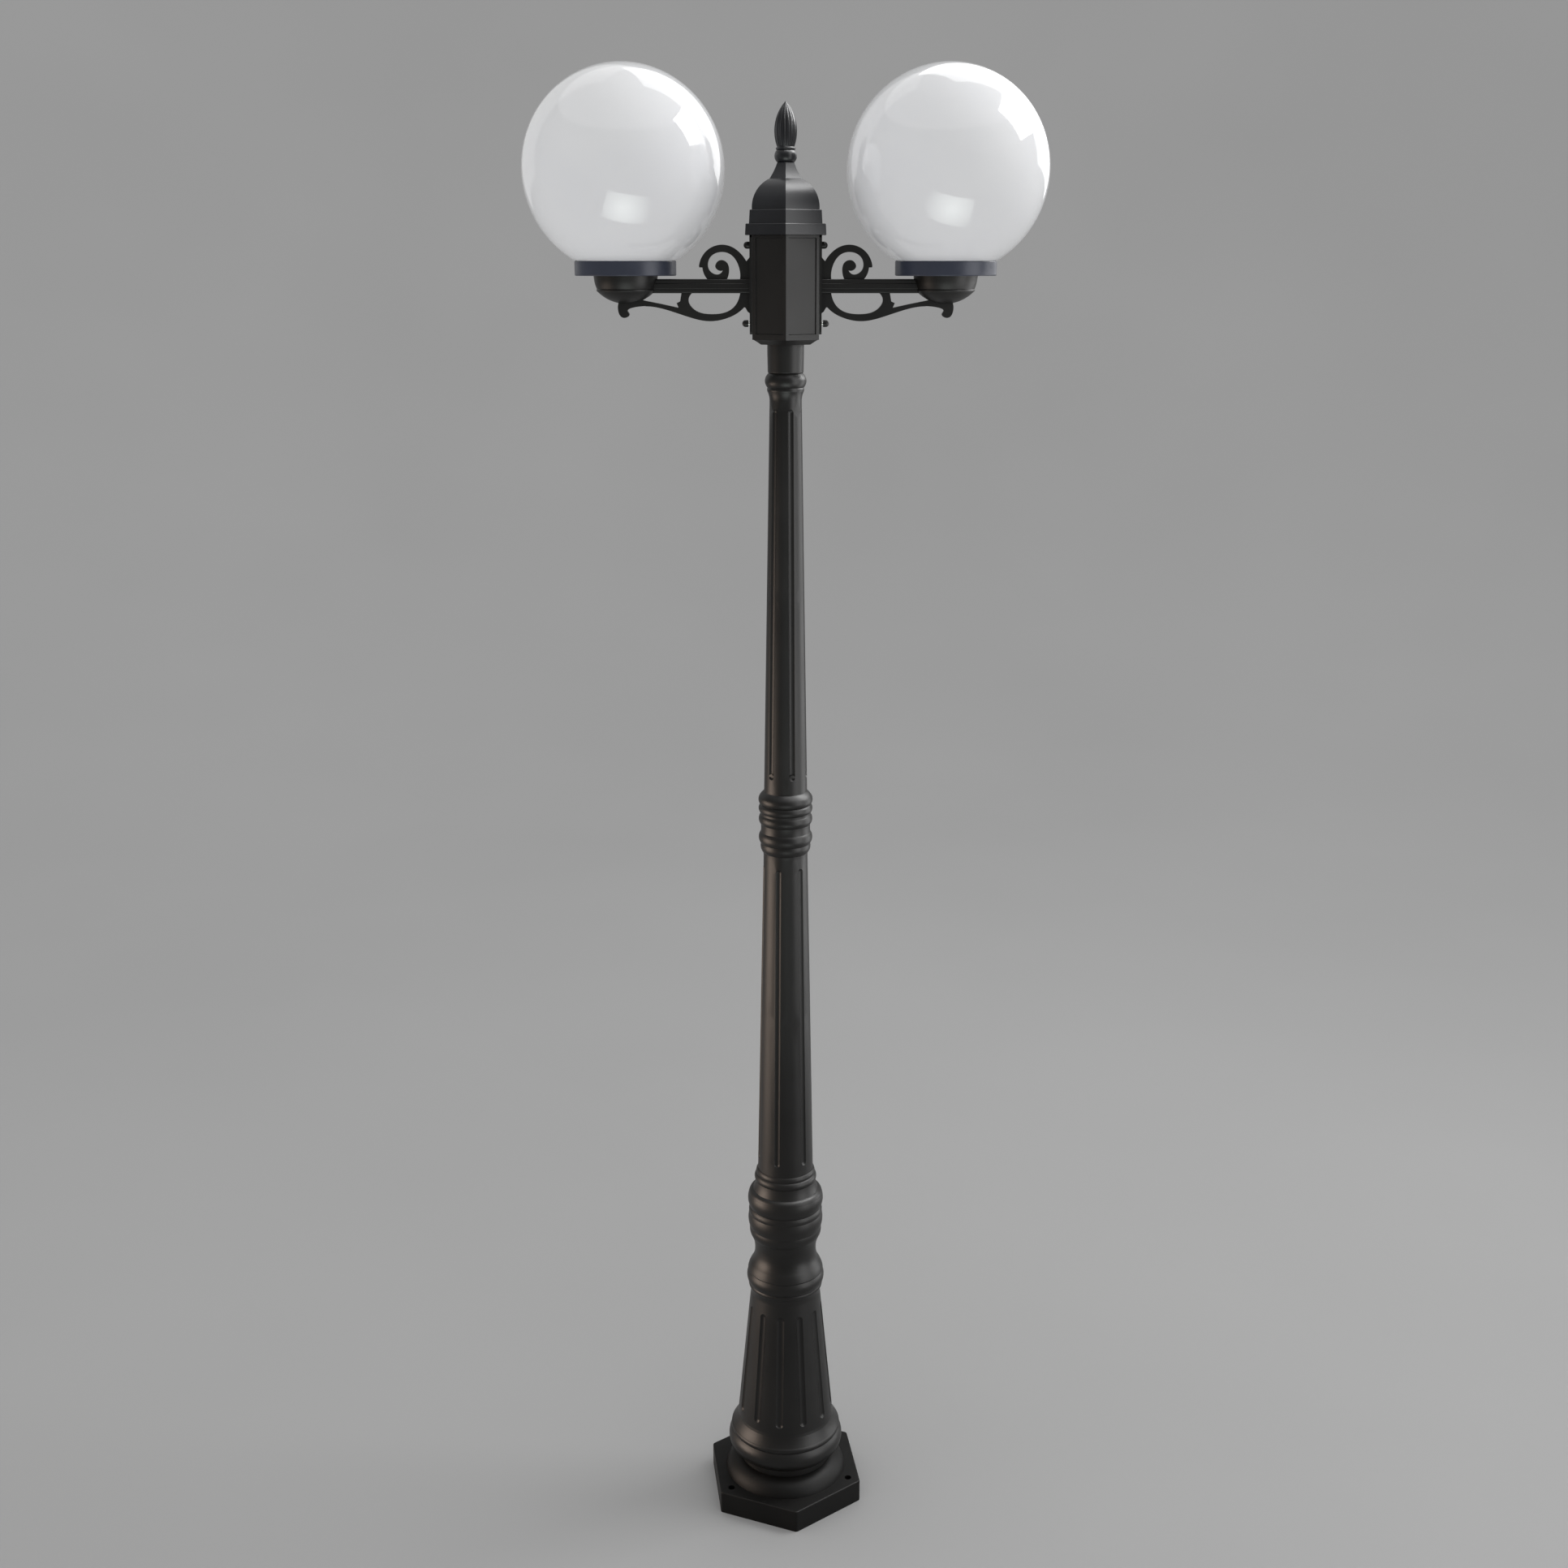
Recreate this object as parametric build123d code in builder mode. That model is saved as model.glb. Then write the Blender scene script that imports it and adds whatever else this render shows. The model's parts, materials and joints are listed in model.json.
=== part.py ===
from build123d import *
from math import pi
import os

# Twin-globe lamp post in cast aluminium: a hexagonal foot, a fluted pedestal, two fluted
# shafts, and a hexagonal head that carries two scrolled arms with an opal globe on each.
# Origin: centre of the foot on the ground. +Z up, arms along X, the front faces -Y.

# ---------------------------------------------------------------- driving dimensions (mm)
FOOT_CORNER_R = 143.0  # circumradius of the hexagonal slab
FOOT_HEIGHT = 40.0
FOOT_TURN = -22.3  # angle of the first slab corner from +X, degrees
BOLT_CIRCLE_R = 120.0
BOLT_HOLE_R = 6.0
BOLT_COUNT = 3
PAD_TOP = 66.0  # top of the domed pad on the slab
PEDESTAL_TOP = 434.0
CAPITAL_TOP = 628.0
SHAFT_LOW_TOP = 1190.0
COUPLING_TOP = 1300.0
SHAFT_HIGH_TOP = 1916.0
NECK_TOP = 1958.0
WALL = 5.0
FIT = 0.05  # radial clearance of the registers between castings
GAP = 0.3  # clearance between pieces that move apart

SPIGOT_R = 27.9
SPIGOT_TOP = 2039.7
SOCKET_R = 28.0
HUB_BOTTOM = 2001.0
HUB_FLOOR_TOP = 2045.0
HOUSING_AF = 100.0  # across flats
HOUSING_WALL = 4.0
HOUSING_BOTTOM = 2008.3
HOUSING_TOP = 2159.0
EAVE_Z = 2159.3
ROOF_TOP = 2261.5
ROD_R = 5.0
ROOF_ROD_R = 4.0

REACH = 240.0  # post axis to globe axis
ARM_Y = 6.0  # half thickness of the scrollwork
PLATE_FACE = 53.8
BAR_LOW = 2075.5
BAR_HIGH = 2096.0
BAR_HALF_Y = 11.0
BORE_Z = 2085.75
STUD_HEIGHTS = (2031.2, 2144.8)
CUP_TOP = 2100.8

COLLAR_R = 76.0
COLLAR_TOP = 2121.8
COLLAR_FLOOR = 3.0
GLOBE_R = 150.0
GLOBE_WALL = 3.0
GLOBE_Z = 2251.8
NECK_R = 69.0
NECK_BOTTOM = 2106.0
LAMP_FLOOR = CUP_TOP + COLLAR_FLOOR
HOLDER_R = 21.0
LEAD_R = 3.0
LEAD_BORE_R = 5.0
LEAD_BEND = 18.0

os.makedirs("parts", exist_ok=True)


# ---------------------------------------------------------------- helpers
def save(name, solid):
    solid.label = name
    export_step(solid, f"parts/{name}.step")


def bead(low, high, crest):
    """Round moulding from low to high, (radius, height), bulging or hollowed to crest."""
    return ThreePointArc(low, (crest, (low[1] + high[1]) / 2), high)


def dish(axis_x, rim_r, rim_z, pole_z):
    """Arc from a dish's rim down to its pole, with its centre on the vertical axis."""
    rise = rim_z - pole_z
    sphere_r = (rim_r**2 + rise**2) / (2 * rise)
    middle = pole_z + sphere_r - (sphere_r**2 - rim_r**2 / 4) ** 0.5
    return ThreePointArc((axis_x + rim_r, rim_z), (axis_x + rim_r / 2, middle), (axis_x, pole_z))


def flute(low, high, width, depth):
    """Round-ended cutter along a tapering wall, low and high being (radius, height) on it."""
    cutter_r = (width * width / 4 + depth * depth) / (2 * depth)
    lift = cutter_r - depth
    foot = Vector(low[0] + lift, 0, low[1])
    run = Vector(high[0] + lift, 0, high[1]) - foot
    with BuildPart() as cutter:
        with Locations(Plane(origin=foot, z_dir=run)):
            Cylinder(cutter_r, run.length, align=(Align.CENTER, Align.CENTER, Align.MIN))
        with Locations(foot, foot + run):
            Sphere(cutter_r)
    return cutter.part


def cut_flutes(cutter, count, start_angle):
    """Subtract the cutter round the post's axis from the part being built."""
    for index in range(count):
        add(cutter, rotation=(0, 0, start_angle + index * 360 / count), mode=Mode.SUBTRACT)


def tube(outer_r, inner_r, low, high):
    """Plain ring about the post's axis."""
    with BuildPart() as ring:
        with BuildSketch(Plane.XY.offset(low)):
            Circle(outer_r)
            Circle(inner_r, mode=Mode.SUBTRACT)
        extrude(amount=high - low)
    return ring.part


def rod(radius, low, high):
    """Plain round bar about the post's axis."""
    with BuildPart() as bar:
        with BuildSketch(Plane.XY.offset(low)):
            Circle(radius)
        extrude(amount=high - low)
    return bar.part


def nut(across_flats, bore_r, low, height):
    """Hexagon nut about the post's axis with its corners rounded off."""
    with BuildPart() as body:
        with BuildSketch(Plane.XY.offset(low)):
            RegularPolygon(across_flats / 2, 6, major_radius=False)
            Circle(across_flats * 0.555, mode=Mode.INTERSECT)
            Circle(bore_r, mode=Mode.SUBTRACT)
        extrude(amount=height)
    return body.part


def both_sides(solid):
    """The solid as made for the right-hand arm, with its mirror image for the left."""
    return {"right": solid, "left": solid.mirror(Plane.YZ)}


# ---------------------------------------------------------------- foot
with BuildPart() as foot_casting:
    with BuildSketch():
        RegularPolygon(FOOT_CORNER_R, 6, rotation=FOOT_TURN)
    extrude(amount=FOOT_HEIGHT)
    fillet(foot_casting.edges().filter_by(Axis.Z), radius=6)
    fillet(foot_casting.faces().sort_by(Axis.Z)[-1].edges(), radius=2)
    with BuildSketch(Plane.XZ):
        with BuildLine():
            Polyline((106, FOOT_HEIGHT), (0, FOOT_HEIGHT), (0, PAD_TOP), (81, PAD_TOP))
            ThreePointArc((81, PAD_TOP), (97, 57), (106, FOOT_HEIGHT))
        make_face()
    revolve(axis=Axis.Z)
    # hollow underside that leaves a rim and a boss round each bolt hole
    with BuildSketch():
        RegularPolygon(FOOT_CORNER_R - 11, 6, rotation=FOOT_TURN)
        with PolarLocations(BOLT_CIRCLE_R, BOLT_COUNT, start_angle=FOOT_TURN):
            Circle(15, mode=Mode.SUBTRACT)
    extrude(amount=FOOT_HEIGHT - 7, mode=Mode.SUBTRACT)
    with BuildSketch():
        Circle(74)
    extrude(amount=PAD_TOP, mode=Mode.SUBTRACT)
    with PolarLocations(BOLT_CIRCLE_R, BOLT_COUNT, start_angle=FOOT_TURN):
        Hole(BOLT_HOLE_R)
save("foot_casting", foot_casting.part)

with BuildPart() as foot_bridge:
    with BuildSketch(Plane.XY.offset(27)):
        Rectangle(176, 36)
        Circle(ROD_R + 0.3, mode=Mode.SUBTRACT)
    extrude(amount=6)
    fillet(foot_bridge.edges().filter_by(Axis.Z).group_by(Axis.X)[0], radius=5)
    fillet(foot_bridge.edges().filter_by(Axis.Z).group_by(Axis.X)[-1], radius=5)
save("foot_bridge", foot_bridge.part)

# ---------------------------------------------------------------- pedestal
pedestal_flute = flute((81.5, 172), (63.0, 364), 13, 3.0)
with BuildPart() as pedestal:
    with BuildSketch(Plane.XZ):
        with BuildLine():
            Polyline((73.9, PAD_TOP - 6), (73.9, PAD_TOP), (80, PAD_TOP), (80, 79), (83, 81))
            ThreePointArc((83, 81), (99.9, 100), (93.8, 121))
            # rolled lower edge of the skirt, and the flare above it
            ThreePointArc((93.8, 121), (95.8, 125), (93.4, 131))
            ThreePointArc((93.4, 131), (88.4, 139), (84.6, 147.5))
            Polyline((84.6, 147.5), (83.5, 152), (60.4, 391))
            ThreePointArc((60.4, 391), (60.6, 397), (62.2, 402.5))
            bead((62.2, 402.5), (63.0, 410.5), 63.8)
            ThreePointArc((63.0, 410.5), (66.8, 422.5), (63.4, PEDESTAL_TOP))
            Polyline((63.4, PEDESTAL_TOP), (54, PEDESTAL_TOP), (54, PEDESTAL_TOP - 8), (78, 157))
            Polyline((78, 157), (70, 75), (68, PAD_TOP - 6), (73.9, PAD_TOP - 6))
        make_face()
    revolve(axis=Axis.Z)
    cut_flutes(pedestal_flute, 12, -97.5)
save("pedestal", pedestal.part)

# ---------------------------------------------------------------- capital above the pedestal
with BuildPart() as pedestal_capital:
    with BuildSketch(Plane.XZ):
        with BuildLine():
            Polyline((53.9, PEDESTAL_TOP - 8), (53.9, PEDESTAL_TOP), (63.4, PEDESTAL_TOP))
            # lip over the pedestal's torus, and the long hollow above it
            ThreePointArc((63.4, PEDESTAL_TOP), (64.7, PEDESTAL_TOP + 0.9), (64.9, PEDESTAL_TOP + 2.4))
            ThreePointArc((64.9, PEDESTAL_TOP + 2.4), (63.2, 442), (60.2, 448.4))
            ThreePointArc((60.2, 448.4), (54.7, 459.5), (52.8, 472))
            ThreePointArc((52.8, 472), (53.8, 487), (57.6, 499))
            # three small beads, each wider than the one below
            bead((57.6, 499), (61.0, 518), 61.3)
            bead((61.0, 518), (62.2, 544.5), 64.0)
            bead((62.2, 544.5), (60.6, 555.5), 62.9)
            # large bead and the hollow neck above it
            ThreePointArc((60.6, 555.5), (64.4, 568), (62.6, 581))
            ThreePointArc((62.6, 581), (59.8, 586.6), (55.6, 589))
            ThreePointArc((55.6, 589), (52.9, 597), (51.3, 606))
            bead((51.3, 606), (49.5, 618.5), 52.9)
            bead((49.5, 618.5), (47.4, CAPITAL_TOP), 49.9)
            Polyline((47.4, CAPITAL_TOP), (41.5, CAPITAL_TOP), (41.5, 605), (50, 580))
            Polyline((50, 580), (50, 515), (46, 490), (46, 455), (49.5, PEDESTAL_TOP + 2))
            Polyline((49.5, PEDESTAL_TOP + 2), (49.5, PEDESTAL_TOP - 8), (53.9, PEDESTAL_TOP - 8))
        make_face()
    revolve(axis=Axis.Z)
save("pedestal_capital", pedestal_capital.part)


# ---------------------------------------------------------------- shafts
def shaft(low, high, wall, register_r, bore_top):
    """Tapered hollow shaft with a register below that enters the casting under it."""
    (low_r, low_z), (high_r, high_z) = low, high
    with BuildPart() as body:
        with BuildSketch(Plane.XZ):
            with BuildLine():
                Polyline(
                    (register_r, low_z - 14),
                    (register_r, low_z),
                    (low_r, low_z),
                    (high_r, high_z),
                    (bore_top, high_z),
                    (bore_top, high_z - 16),
                    (high_r - wall, high_z - 30),
                    (register_r - wall, low_z + 20),
                    (register_r - wall, low_z - 14),
                    close=True,
                )
            make_face()
        revolve(axis=Axis.Z)
    return body.part


lower_tube = shaft((47.0, CAPITAL_TOP), (35.9, SHAFT_LOW_TOP), WALL, 41.5 - FIT, 31.5)
lower_flute = flute((46.4, 652), (36.3, 1168), 10, 2.6)
with BuildPart() as lower_shaft:
    add(lower_tube)
    cut_flutes(lower_flute, 6, -108)
save("lower_shaft", lower_shaft.part)

upper_tube = shaft((34.8, COUPLING_TOP), (24.6, SHAFT_HIGH_TOP), 4.5, 30 - FIT, 20.5)
upper_flute = flute((34.35, 1327), (24.95, 1900), 10, 2.6)
with BuildPart() as upper_shaft:
    add(upper_tube)
    cut_flutes(upper_flute, 6, -72)
save("upper_shaft", upper_shaft.part)

with BuildPart() as middle_coupling:
    with BuildSketch(Plane.XZ):
        with BuildLine():
            Line((31.5 - FIT, SHAFT_LOW_TOP - 14), (31.5 - FIT, SHAFT_LOW_TOP))
            Polyline((31.5 - FIT, SHAFT_LOW_TOP), (36.0, SHAFT_LOW_TOP), (36.2, 1194.5))
            ThreePointArc((36.2, 1194.5), (39.7, 1200), (40.0, 1210.5))
            bead((40.0, 1210.5), (40.2, 1230), 43.6)
            bead((40.2, 1230), (40.2, 1243), 39.9)
            bead((40.2, 1243), (41.0, 1259), 43.5)
            Line((41.0, 1259), (41.0, 1262.5))
            bead((41.0, 1262.5), (40.8, 1276), 43.7)
            ThreePointArc((40.8, 1276), (43.9, 1283.5), (42.0, 1290.5))
            ThreePointArc((42.0, 1290.5), (38.8, 1294.6), (35.2, 1297.8))
            Line((35.2, 1297.8), (34.9, COUPLING_TOP))
            Polyline((34.9, COUPLING_TOP), (30, COUPLING_TOP), (30, 1284), (27, 1278))
            Polyline((27, 1278), (27, SHAFT_LOW_TOP - 14), (31.5 - FIT, SHAFT_LOW_TOP - 14))
        make_face()
    revolve(axis=Axis.Z)
save("middle_coupling", middle_coupling.part)

# ---------------------------------------------------------------- neck and spigot
with BuildPart() as neck_collar:
    with BuildSketch(Plane.XZ):
        with BuildLine():
            Line((20.5 - FIT, SHAFT_HIGH_TOP - 14), (20.5 - FIT, SHAFT_HIGH_TOP))
            Line((20.5 - FIT, SHAFT_HIGH_TOP), (24.6, SHAFT_HIGH_TOP))
            ThreePointArc((24.6, SHAFT_HIGH_TOP), (25.2, 1923), (27.5, 1930))
            bead((27.5, 1930), (27.8, 1936.5), 28.4)
            bead((27.8, 1936.5), (27.4, 1956.8), 31.7)
            Polyline((27.4, 1956.8), (26.2, NECK_TOP), (21, NECK_TOP), (21, 1943), (17, 1938))
            Polyline((17, 1938), (17, SHAFT_HIGH_TOP - 14), (20.5 - FIT, SHAFT_HIGH_TOP - 14))
        make_face()
    revolve(axis=Axis.Z)
save("neck_collar", neck_collar.part)

SPIGOT_LEDGE = 2018.0
with BuildPart() as top_spigot:
    with BuildSketch(Plane.XZ):
        with BuildLine():
            Polyline((21 - FIT, NECK_TOP - 15), (21 - FIT, NECK_TOP), (25.6, NECK_TOP))
            ThreePointArc((25.6, NECK_TOP), (26.8, NECK_TOP + 0.8), (27.3, NECK_TOP + 2.5))
            Polyline(
                (27.3, NECK_TOP + 2.5),
                (SPIGOT_R, NECK_TOP + 30),
                (SPIGOT_R, SPIGOT_TOP),
                (24, SPIGOT_TOP),
                (24, SPIGOT_LEDGE),
                (22, SPIGOT_LEDGE),
                (22, NECK_TOP + 8),
                (17, NECK_TOP),
                (17, NECK_TOP - 15),
                (21 - FIT, NECK_TOP - 15),
            )
        make_face()
    revolve(axis=Axis.Z)
save("top_spigot", top_spigot.part)

with BuildPart() as spigot_plate:
    with BuildSketch(Plane.XY.offset(SPIGOT_LEDGE)):
        Circle(24 - FIT)
        Circle(ROD_R + 0.3, mode=Mode.SUBTRACT)
        with Locations((0, -15.5)):
            Circle(5, mode=Mode.SUBTRACT)
    extrude(amount=5)
save("spigot_plate", spigot_plate.part)

# ---------------------------------------------------------------- tie rod through the post
ROD_LOW = 12.0
ROD_HIGH = 2060.0
WASHER = 2.0
NUT_AF = 17.0
NUT_HEIGHT = 8.0
BRIDGE_LOW = 27.0
# faces that each washer bears on, and the way the nut lies from there
CLAMPS = ((BRIDGE_LOW, -1), (SPIGOT_LEDGE + 5, 1), (HUB_FLOOR_TOP + GAP, 1))

save("tie_rod", rod(ROD_R, ROD_LOW, ROD_HIGH))

washers = [tube(10, ROD_R + 0.3, *sorted((face, face + way * WASHER))) for face, way in CLAMPS]
with BuildPart() as tie_rod_washers:
    add(washers)
save("tie_rod_washers", tie_rod_washers.part)

clamp_nuts = []
for face, way in CLAMPS:
    near = face + way * WASHER
    clamp_nuts.append(nut(NUT_AF, ROD_R, min(near, near + way * NUT_HEIGHT), NUT_HEIGHT))
with BuildPart() as tie_rod_nuts:
    add(clamp_nuts)
save("tie_rod_nuts", tie_rod_nuts.part)

# ---------------------------------------------------------------- head: base and housing
with BuildPart() as hub_base:
    # rim that tapers from the round neck to the hexagon of the housing
    with BuildSketch(Plane.XY.offset(HUB_BOTTOM)):
        RegularPolygon(37, 6, major_radius=False, rotation=30)
    with BuildSketch(Plane.XY.offset(2005.6)):
        RegularPolygon(43.7, 6, major_radius=False, rotation=30)
    with BuildSketch(Plane.XY.offset(HOUSING_BOTTOM)):
        RegularPolygon(48.4, 6, major_radius=False, rotation=30)
    loft(ruled=True)
    with BuildSketch(Plane.XY.offset(HOUSING_BOTTOM)):
        RegularPolygon(HOUSING_AF / 2 - HOUSING_WALL - FIT, 6, major_radius=False, rotation=30)
    extrude(amount=7)
    with BuildSketch(Plane.XY.offset(HOUSING_BOTTOM)):
        Circle(34)
    extrude(amount=HUB_FLOOR_TOP - HOUSING_BOTTOM)
    with BuildSketch(Plane.XY.offset(HUB_BOTTOM)):
        Circle(SOCKET_R)
    extrude(amount=SPIGOT_TOP + GAP - HUB_BOTTOM, mode=Mode.SUBTRACT)
    with BuildSketch(Plane.XY.offset(HUB_FLOOR_TOP)):
        Circle(ROD_R + 0.1)
        with Locations((0, -18)):
            Circle(6)
    extrude(amount=SPIGOT_TOP - HUB_FLOOR_TOP, mode=Mode.SUBTRACT)
save("hub_base", hub_base.part)

LUG_TOP = 2155.0
with BuildPart() as hub_housing:
    with BuildSketch(Plane.XY.offset(HOUSING_BOTTOM)):
        RegularPolygon(HOUSING_AF / 2, 6, major_radius=False, rotation=30)
    extrude(amount=HOUSING_TOP - HOUSING_BOTTOM)
    fillet(hub_housing.edges().filter_by(Axis.Z), radius=1.2)
    # recessed panel on each face that carries no arm
    for angle in (60, 120, 240, 300):
        face = Plane.XZ.rotated((0, 0, angle + 90)).offset(HOUSING_AF / 2)
        with BuildSketch(face):
            with Locations((0, (HOUSING_BOTTOM + HOUSING_TOP) / 2 + 2)):
                Rectangle(47.5, HOUSING_TOP - HOUSING_BOTTOM - 12)
        extrude(amount=-1.8, taper=20, mode=Mode.SUBTRACT)
    with BuildSketch(Plane.XY.offset(HOUSING_BOTTOM)):
        RegularPolygon(HOUSING_AF / 2 - HOUSING_WALL, 6, major_radius=False, rotation=30)
    extrude(amount=HOUSING_TOP - HOUSING_BOTTOM, mode=Mode.SUBTRACT)
    # lugs for the bridge that holds the roof rod
    with BuildSketch(Plane.XY.offset(LUG_TOP - 4)):
        with Locations((-41.5, 0), (41.5, 0)):
            Rectangle(9.5, 16)
    extrude(amount=4)
    # stud and lead holes through the two faces that carry the arms
    with BuildSketch(Plane.YZ):
        with Locations(*[(0, height) for height in STUD_HEIGHTS]):
            Circle(3.1)
        with Locations((0, BORE_Z)):
            Circle(6)
    extrude(amount=HOUSING_AF, both=True, mode=Mode.SUBTRACT)
save("hub_housing", hub_housing.part)

# ---------------------------------------------------------------- head: roof and its fixing
with BuildPart() as roof_bridge:
    with BuildSketch(Plane.XY.offset(LUG_TOP)):
        Rectangle(91, 18)
        Circle(ROOF_ROD_R, mode=Mode.SUBTRACT)
    extrude(amount=3)
    fillet(roof_bridge.edges().filter_by(Axis.Z).group_by(Axis.X)[0], radius=3)
    fillet(roof_bridge.edges().filter_by(Axis.Z).group_by(Axis.X)[-1], radius=3)
save("roof_bridge", roof_bridge.part)

with BuildPart() as roof_bridge_screws:
    with BuildSketch(Plane.XY.offset(LUG_TOP + 3)):
        with Locations((-41, 0), (41, 0)):
            Circle(3.5)
    extrude(amount=2.4)
    fillet(roof_bridge_screws.edges().group_by(Axis.Z)[-1], radius=1)
save("roof_bridge_screws", roof_bridge_screws.part)

save("roof_rod", rod(ROOF_ROD_R, LUG_TOP - 9, 2282))

lug_nuts = [nut(13, ROOF_ROD_R, low, 6.5) for low in (LUG_TOP - 6.5, LUG_TOP + 3)]
with BuildPart() as roof_rod_nuts:
    add(lug_nuts)
save("roof_rod_nuts", roof_rod_nuts.part)


def hexagonal(outline):
    """Solid with six equal faces, each curved as the outline that the sketch draws."""
    with BuildPart() as body:
        for angle, mode in ((0, Mode.ADD), (60, Mode.INTERSECT), (120, Mode.INTERSECT)):
            with BuildSketch(Plane.XZ.rotated((0, 0, angle))):
                with BuildLine():
                    outline()
                    mirror(about=Plane.YZ)
                make_face()
            extrude(amount=100, both=True, mode=mode)
    return body.part


def roof_outside():
    Line((0, EAVE_Z), (60, EAVE_Z))
    Polyline((60, EAVE_Z), (59.2, 2174.2), (58.4, 2175.2), (54.2, 2175.2), (53.1, 2194.2))
    Polyline((53.1, 2194.2), (52.3, 2195), (49.85, 2195))
    ThreePointArc((49.85, 2195), (43.4, 2221.5), (25, 2238.5))
    Line((25, 2238.5), (23.8, 2239))
    ThreePointArc((23.8, 2239), (17.2, 2250.5), (12.6, ROOF_TOP))
    Line((12.6, ROOF_TOP), (0, ROOF_TOP))


def roof_inside():
    Line((0, EAVE_Z - 1), (54, EAVE_Z - 1))
    Polyline((54, EAVE_Z - 1), (54, 2170), (48.5, 2173), (46, 2195))
    ThreePointArc((46, 2195), (39.5, 2218.5), (21, 2234))
    Polyline((21, 2234), (8, 2250), (0, 2250))


roof_solid = hexagonal(roof_outside)
roof_hollow = hexagonal(roof_inside)
with BuildPart() as roof_cap:
    add(roof_solid)
    add(roof_hollow, mode=Mode.SUBTRACT)
    with BuildSketch(Plane.XY.offset(EAVE_Z)):
        Circle(ROOF_ROD_R + GAP)
    extrude(amount=ROOF_TOP - EAVE_Z, mode=Mode.SUBTRACT)
save("roof_cap", roof_cap.part)

# ---------------------------------------------------------------- flame finial
FINIAL_BASE = ROOF_TOP + GAP
FLAME_BASE = 2284.0
FLAME_BULGE = 17.0  # largest radius of the flame
FLAME_ARC = 60.0  # radius of its outline
FLAME_WAIST = 2306.0  # height of the bulge
flame_centre = FLAME_BULGE - FLAME_ARC
flame_height = (FLAME_ARC**2 - flame_centre**2) ** 0.5
flame_tip = FLAME_WAIST + flame_height
FLAME_STEPS = (FLAME_BASE - FLAME_WAIST, -8, 8, 20, 32, flame_height)  # heights from the waist
GROOVE_R = 2.4
GROOVE_ARC = 66.0  # flatter than the flame, so that each groove runs out before the tip
GROOVE_COUNT = 16
GROOVE_RISE = 37.5  # angle above the waist at which a groove starts, degrees
GROOVE_FALL = 19.0  # angle below the waist at which it ends
groove_centre = FLAME_BULGE + 1.4 - GROOVE_ARC


def flame_radius(height):
    """Radius of the flame at a height from its waist, on a pointed arch."""
    return flame_centre + (FLAME_ARC**2 - height**2) ** 0.5


# cutter for the hollow between two leaves of the flame
groove_start = Plane(origin=(groove_centre, 0, FLAME_WAIST)).rotated((0, -GROOVE_RISE, 0))
with BuildPart() as finial_groove:
    with BuildSketch(groove_start):
        with Locations((GROOVE_ARC, 0)):
            Circle(GROOVE_R)
    revolve(
        axis=Axis((groove_centre, 0, FLAME_WAIST), (0, 1, 0)), revolution_arc=GROOVE_RISE + GROOVE_FALL
    )

with BuildPart() as finial:
    with BuildSketch(Plane.XZ):
        with BuildLine():
            Line((0, FINIAL_BASE), (12.2, FINIAL_BASE))
            bead((12.2, FINIAL_BASE), (13.3, 2279.6), 16.7)
            bead((13.3, 2279.6), (13.2, 2283.4), 14.7)
            Line((13.2, 2283.4), (flame_radius(FLAME_STEPS[0]), FLAME_BASE))
            Spline(*[(flame_radius(height), FLAME_WAIST + height) for height in FLAME_STEPS])
            Line((0, flame_tip), (0, FINIAL_BASE))
        make_face()
    revolve(axis=Axis.Z)
    cut_flutes(finial_groove.part, GROOVE_COUNT, 0)
    # blind hole for the rod
    with BuildSketch(Plane.XY.offset(FINIAL_BASE)):
        Circle(ROOF_ROD_R + 0.1)
    extrude(amount=22, mode=Mode.SUBTRACT)
save("finial", finial.part)


# ---------------------------------------------------------------- arms
def arm_outline():
    """Scrollwork seen from the front, as one closed outline."""
    Polyline((52.5, 2131.3), (54.8, 2126.4), (59, 2121.7))
    ThreePointArc((59, 2121.7), (66, 2131.5), (76, 2140))
    ThreePointArc((76, 2140), (116, 2138.5), (129.7, 2114.8))
    Polyline((129.7, 2114.8), (129.2, 2112.8), (124.6, 2112.6))
    ThreePointArc((124.6, 2112.6), (122.8, 2104.5), (117.5, BAR_HIGH))
    Polyline((117.5, BAR_HIGH), (215, BAR_HIGH), (215, 2070), (251.6, 2070), (251.6, 2060))
    Spline(
        (251.6, 2060),
        (252.2, 2051),
        (246.5, 2040.4),
        (238, 2041),
        (235.5, 2045),
        (238, 2049.5),
        (231, 2054.2),
        (210.7, 2056.4),
    )
    Spline(
        (210.7, 2056.4),
        (181.7, 2052),
        (147.6, 2041.3),
        (113.6, 2034.7),
        (82, 2041.5),
        (62.4, 2055),
        tangents=((-1, 0), (-1, 1.05)),
    )
    Polyline((62.4, 2055), (60.7, 2054.5), (57.3, 2048.7), (52.5, 2045))
    Line((52.5, 2045), (52.5, 2131.3))


def spiral_opening():
    """Gap inside the upper scroll, which winds round its bulb."""
    Spline(
        (68.4, BAR_HIGH),
        (71, 2116.4),
        (83, 2131.8),
        (100, 2134.6),
        (113.6, 2126.4),
        (114.6, 2109.5),
        (103, 2102.6),
        (94, 2108.6),
    )
    Spline(
        (94, 2108.6),
        (99.5, 2108.2),
        (105.2, 2113.5),
        (99, 2123),
        (88, 2119.8),
        (84.8, 2109),
        (88, BAR_HIGH),
    )
    Line((88, BAR_HIGH), (68.4, BAR_HIGH))


def bow_opening():
    """D-shaped gap under the bar, next to the housing."""
    Line((68.4, BAR_LOW), (141, BAR_LOW))
    Spline(
        (141, BAR_LOW),
        (146, 2063.6),
        (135.7, 2050.4),
        (113.6, 2045),
        (88, 2048.7),
        (68.4, BAR_LOW),
    )


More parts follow.
